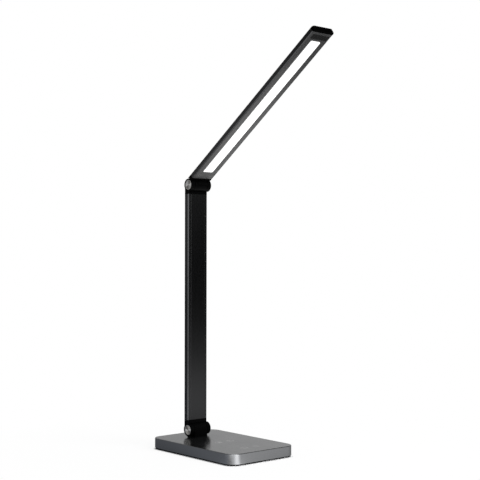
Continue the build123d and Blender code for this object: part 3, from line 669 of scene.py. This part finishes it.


# Lays the thin dark plate on the head's underside, darkening the band before the end cap
def darkBandPlate(name, look):
    (near, far), (left, right) = look["along"], look["side"]
    middle = Vector(((left + right) / 2, -(near + far) / 2, look["under"] - look["thick"]))
    bpy.ops.object.select_all(action="DESELECT")
    bpy.ops.mesh.primitive_plane_add(size=mm)
    plate = bpy.context.object
    plate.name = name
    plate.scale = (right - left, far - near, 1)
    plate.location = middle * mm
    applyPlace()
    bpy.ops.object.mode_set(mode="EDIT")
    bpy.ops.mesh.select_all(action="SELECT")
    bpy.ops.mesh.bevel(affect="VERTICES", offset=look["corner"] * mm, segments=look["cornerSteps"])
    bpy.ops.mesh.select_all(action="SELECT")
    lift = (look["thick"] + look["sunk"]) * mm
    bpy.ops.mesh.extrude_region_move(TRANSFORM_OT_translate={"value": (0, 0, lift)})
    bpy.ops.mesh.select_all(action="SELECT")
    bpy.ops.mesh.normals_make_consistent(inside=False)
    bpy.ops.object.mode_set(mode="OBJECT")
    finishModifier(plate, "BEVEL", {"width": look["edge"] * mm, "segments": 2, "limit_method": "ANGLE"})
    plate.rotation_euler = (-headTilt, 0, 0)
    plate.location = upperAxis
    applyPlace()
    wear(plate, "head", grainedSkin("darkBandPlastic", darkBandPlastic))


darkBandPlate("head_dark_band", darkBand)
print("head dressed")


# Parts inside keep their own solids and get their finishes here

def fill(material, *nodes):
    for node in nodes:
        mesh = frame["nodes"][node].data
        mesh.materials.clear()
        mesh.materials.append(material)


insideSteel = {
    "turn": (0, 0, 0),
    "stretch": (1, 0.04, 1),
    "grain": 0.0006,
    "cloud": 0.02,
    "colour": (0.4, 0.4, 0.41),
    "shade": (0.55, 0.55, 0.56),
    "metal": 1.0,
    "roughness": 0.38,
    "relief": 0.2,
    "depth": 0.00003,
}
bushBrass = {**insideSteel, "colour": (0.6, 0.42, 0.16), "shade": (0.74, 0.55, 0.24), "roughness": 0.32}
springSteel = {**insideSteel, "colour": (0.26, 0.25, 0.24), "shade": (0.36, 0.34, 0.32)}
washerPlastic = {**lipPlastic, "colour": (0.62, 0.6, 0.54), "shade": (0.7, 0.68, 0.62), "gloss": 0.45}
touchFoam = {**padRubber, "colour": (0.05, 0.05, 0.055), "shade": (0.09, 0.09, 0.095), "grain": 0.0006}
leadJacket = {
    **lipPlastic,
    "colour": (0.014, 0.014, 0.014),
    "shade": (0.024, 0.024, 0.024),
    "roughness": 0.55,
}
clearGuide = {
    **lipPlastic,
    "colour": (0.86, 0.88, 0.88),
    "shade": (0.92, 0.93, 0.93),
    "roughness": 0.1,
    "gloss": 0.5,
    "relief": 0.05,
}
whiteFilm = {**lipPlastic, "colour": (0.86, 0.86, 0.85), "shade": (0.92, 0.92, 0.91), "roughness": 0.6}
stripWhite = {**lipPlastic, "colour": (0.76, 0.77, 0.75), "shade": (0.84, 0.84, 0.82), "roughness": 0.35}
boardGreen = {**stripWhite, "colour": (0.02, 0.12, 0.05), "shade": (0.03, 0.17, 0.07)}
chipGlow = {
    **opal,
    "colour": (0.85, 0.7, 0.2),
    "shade": (0.8, 0.62, 0.16),
    "glow": (1.0, 0.93, 0.75),
    "dim": (0.95, 0.85, 0.6),
}
fill(drawnMetal("zincSteel", insideSteel), "counterweight", "cover_screws", "foot_screws", "board_screws",
     "lower_hinge_bolt", "lower_hinge_nut", "upper_hinge_bolt", "upper_hinge_nut")
fill(drawnMetal("springSteel", springSteel), "lower_disc_springs", "upper_disc_springs")
fill(drawnMetal("bushBrass", bushBrass), "lower_hinge_bush", "upper_hinge_bush")
fill(grainedSkin("washerPlastic", washerPlastic), "lower_friction_washers", "upper_friction_washers")
fill(grainedSkin("touchFoam", touchFoam), "touch_pads")
fill(grainedSkin("leadJacket", leadJacket), "inlet_lead", "foot_lead", "stem_lead", "head_lead")
fill(grainedSkin("clearGuide", clearGuide), "light_guide")
fill(grainedSkin("whiteFilm", whiteFilm), "reflector")
fill(grainedSkin("stripWhite", stripWhite), "light_board")
fill(grainedSkin("boardGreen", boardGreen), "control_board")
fill(opalGlow("chipGlow", chipGlow), "light_chips")
print("inside parts finished")


# Studio: a white floor and surround, and lamps

studio = {
    "white": 1.0,
    "fill": 0.3,
    "fillTint": (0.95, 0.97, 1.0),
    "floorSize": 40,
    "floorGrey": (0.8, 0.8, 0.8, 1),
    "shadow": 0.12,  # how dark the faint shadow is, and how far from the base it fades out
    "fade": 0.3,
    "contact": 0.0035,  # the width of the full shadow round the base
}
baseHalf = (0.059, 0.0922)  # half the base's width and length
baseCorner = 0.016  # the radius of its corners
# What reflections see, by bearing from +X in degrees: brightest in front, darker on the left
airLevels = [
    (90, 0.6), (131, 0.45), (157, 0.5), (175, 0.55), (194, 0.8), (209, 1.6), (216, 4.2), (225, 5.0),
    (250, 4.4), (263, 4.0), (275, 3.0), (289, 1.8), (307, 1.1), (330, 1.0), (385, 0.8), (404, 0.87),
    (410, 0.8), (414, 0.7), (430, 0.68), (450, 0.6),
]
floorLevels = [
    (90, 0.24), (103, 0.27), (111, 0.34), (121, 0.38), (133, 0.4), (146, 0.5), (175, 0.58), (194, 0.7),
    (213, 1.0), (231, 1.75), (250, 3.5), (263, 3.9), (270, 3.4), (289, 1.7), (307, 1.23), (330, 1.1),
    (342, 1.0), (356, 0.5), (430, 0.42), (450, 0.4),
]
# What reflections see in the air, by the sine of how steeply they rise
riseLevels = [
    (0.0, 1.0), (0.15, 1.0), (0.3, 0.65), (0.44, 0.5), (0.53, 0.1), (0.6, 0.04), (0.8, 0.04), (0.92, 0.4),
    (1.0, 0.5),
]
rampStart = 90  # the bearing at the back, where both ramps start and end
coolSide = (0.93, 0.98, 1.07)  # tint of what stands behind on the left, up to coolEnd
coolEnd = 180


def rayIs(finish, *kinds):  # 1 for the rays named
    total = sum(finish.node("ShaderNodeLightPath", output=kind) for kind in kinds)
    return finish.maths("MINIMUM", total, 1.0)


def greyRamp(finish, value, levels):
    return finish.ramp(value, [(place, (level, level, level)) for place, level in levels])


def byBearing(finish, spot, levels):  # grey by the bearing of a place or direction
    seamTurn = (0, 0, math.radians(180 - rampStart))
    turned = finish.node("ShaderNodeMapping", {}, {"Vector": spot, "Rotation": seamTurn})
    sweep = finish.node("ShaderNodeTexGradient", {"gradient_type": "RADIAL"}, {"Vector": turned}, "Fac")
    stops = []
    for bearing, level in levels:
        tint = coolSide if bearing < coolEnd else (1, 1, 1)
        stops.append(((bearing - rampStart) / 360, tuple(level * share for share in tint)))
    return finish.ramp(sweep, stops)


world = bpy.data.worlds.new("Surround")
bpy.context.scene.world = world
world.use_nodes = True
surround = Finish("surround", world.node_tree)


def backdrop(colour, strength):
    return surround.node("ShaderNodeBackground", {}, {"Color": colour, "Strength": strength})


def eitherOf(finish, share, first, second):  # the second shader where share is 1
    return finish.node("ShaderNodeMixShader", {}, {0: share, 1: first, 2: second})


towards = surround.node("ShaderNodeTexCoord", output="Generated")
rise = greyRamp(surround, surround.axis(towards, "Z"), riseLevels)
plainLight = backdrop((*studio["fillTint"], 1), studio["fill"])
mirrored = backdrop(byBearing(surround, towards, airLevels), rise)
white = backdrop((1, 1, 1, 1), studio["white"])
unseen = eitherOf(surround, rayIs(surround, "Is Glossy Ray"), plainLight, mirrored)
seen = rayIs(surround, "Is Camera Ray", "Is Transmission Ray")
surround.node("ShaderNodeOutputWorld", {}, {"Surface": eitherOf(surround, seen, unseen, white)})

bpy.ops.object.select_all(action="DESELECT")
bpy.ops.mesh.primitive_plane_add(size=studio["floorSize"], location=(0, 0, 0))
floor = bpy.context.object
floor.name = "floor"
ground = Finish("groundWhite")

# The floor holds the shadow fully in a thin line round the base, and faintly further out
straight = (baseHalf[0] - baseCorner, baseHalf[1] - baseCorner, 0)
beyond = ground.vectorMaths("SUBTRACT", ground.vectorMaths("ABSOLUTE", ground.place()), straight)
beyond = ground.vectorMaths("MAXIMUM", beyond)
away = ground.vectorMaths("LENGTH", beyond, output="Value") - baseCorner
close = ground.maths("MAXIMUM", 1 - away * (1 / studio["contact"]), 0.0)
faint = ground.maths("MAXIMUM", 1 - away * (1 / studio["fade"]), 0.0) * studio["shadow"]
hold = ground.maths("MINIMUM", ground.maths("MAXIMUM", close, faint), 1.0)
matte = ground.node("ShaderNodeBsdfDiffuse", {}, {"Color": studio["floorGrey"]})
paper = ground.node("ShaderNodeBsdfDiffuse", {}, {"Color": (1, 1, 1, 1)})
shine = ground.node("ShaderNodeEmission", {}, {"Color": (1, 1, 1, 1), "Strength": studio["white"]})
nearCorner = ground.place(shift=straight)
glossed = ground.node("ShaderNodeEmission", {}, {"Color": byBearing(ground, nearCorner, floorLevels)})
unseen = eitherOf(ground, rayIs(ground, "Is Glossy Ray"), matte, glossed)
seen = rayIs(ground, "Is Camera Ray", "Is Transmission Ray")
shown = eitherOf(ground, hold, shine, paper)
ground.node("ShaderNodeOutputMaterial", {}, {"Surface": eitherOf(ground, seen, unseen, shown)})
floor.data.materials.append(ground.material)

lamps = {
    "keyLamp": {"place": (0.7, -1.5, 1.3), "aim": (0, 0, 0.15), "size": (1.0, 1.0), "power": 24},
    "topLamp": {"place": (0.1, 0.2, 1.7), "aim": (0, 0, 0), "size": (1.2, 1.2), "power": 12},
    "frontBox": {"place": (-0.26, -1.45, 0.42), "aim": (-0.03, -0.05, 0.1), "size": (0.5, 0.8), "power": 3},
}


def areaLamp(name, look):
    lamp = bpy.data.lights.new(name, "AREA")
    lamp.shape = "RECTANGLE"
    lamp.size, lamp.size_y = look["size"]
    lamp.energy = look["power"]
    holder = bpy.data.objects.new(name, lamp)
    bpy.context.scene.collection.objects.link(holder)
    holder.location = look["place"]
    aimed = (Vector(look["aim"]) - Vector(look["place"])).to_track_quat("-Z", "Y")
    holder.rotation_euler = aimed.to_euler()
    holder.visible_camera = False


for name, look in lamps.items():
    areaLamp(name, look)

# Grey cards that only reflections see, each graded from its foot (0) to its top (1)
cards = {
    "rightCard": {
        "place": (0.656, -0.698, 0.8),
        "turn": (90, 0, 41),
        "size": (1.6, 1.6),
        "levels": [(0.0, 0.45), (0.03, 0.3), (0.06, 0.16), (0.1, 0.08), (0.15, 0.03), (0.22, 0.08),
                   (0.27, 0.2), (1.0, 0.25)],
    },
    "leftCard": {
        "place": (-0.656, 0.812, 0.8),
        "turn": (90, 0, 41),
        "size": (1.6, 1.6),
        "levels": [(0.0, 0.2), (0.08, 0.2), (0.2, 0.4), (0.28, 0.55), (0.45, 0.6), (0.53, 0.1), (1.0, 0.04)],
    },
    "stemGround": {
        "place": (-0.4613, -0.3398, 0.0001),
        "turn": (0, 0, 131),
        "size": (0.17, 0.72),
        "levels": [(0.0, 4.8), (0.26, 4.1), (0.5, 2.8), (0.8, 2.1), (1.0, 1.9)],
    },
    "bevelGround": {
        "place": (-0.31, -0.033, 0.0002),
        "turn": (0, 0, 154.7),
        "size": (0.08, 0.32),
        "levels": [(0.0, 3.0), (1.0, 3.2)],
    },
    "rightGround": {
        "place": (0.42, 0.025, 0.0001),
        "turn": (0, 0, 214.3),
        "size": (0.4, 0.6),
        "levels": [(0.0, 0.7), (0.3, 1.1), (0.37, 1.8), (0.43, 1.95), (0.5, 1.5), (0.62, 1.45),
                   (0.68, 1.05), (0.76, 0.25), (1.0, 0.1)],
    },
}


def reflectionCard(name, look):
    turn = [math.radians(angle) for angle in look["turn"]]
    bpy.ops.object.select_all(action="DESELECT")
    bpy.ops.mesh.primitive_plane_add(size=1, location=look["place"], rotation=turn)
    card = bpy.context.object
    card.name = name
    card.scale = (*look["size"], 1)
    skin = Finish(name)
    height = skin.axis(skin.place(), "Y") + 0.5
    shade = greyRamp(skin, height, look["levels"])
    glow = skin.node("ShaderNodeEmission", {}, {"Color": shade, "Strength": 1.0})
    skin.node("ShaderNodeOutputMaterial", {}, {"Surface": glow})
    card.data.materials.append(skin.material)
    card.visible_camera = card.visible_diffuse = card.visible_shadow = card.visible_transmission = False


for name, look in cards.items():
    reflectionCard(name, look)
print("studio lit")
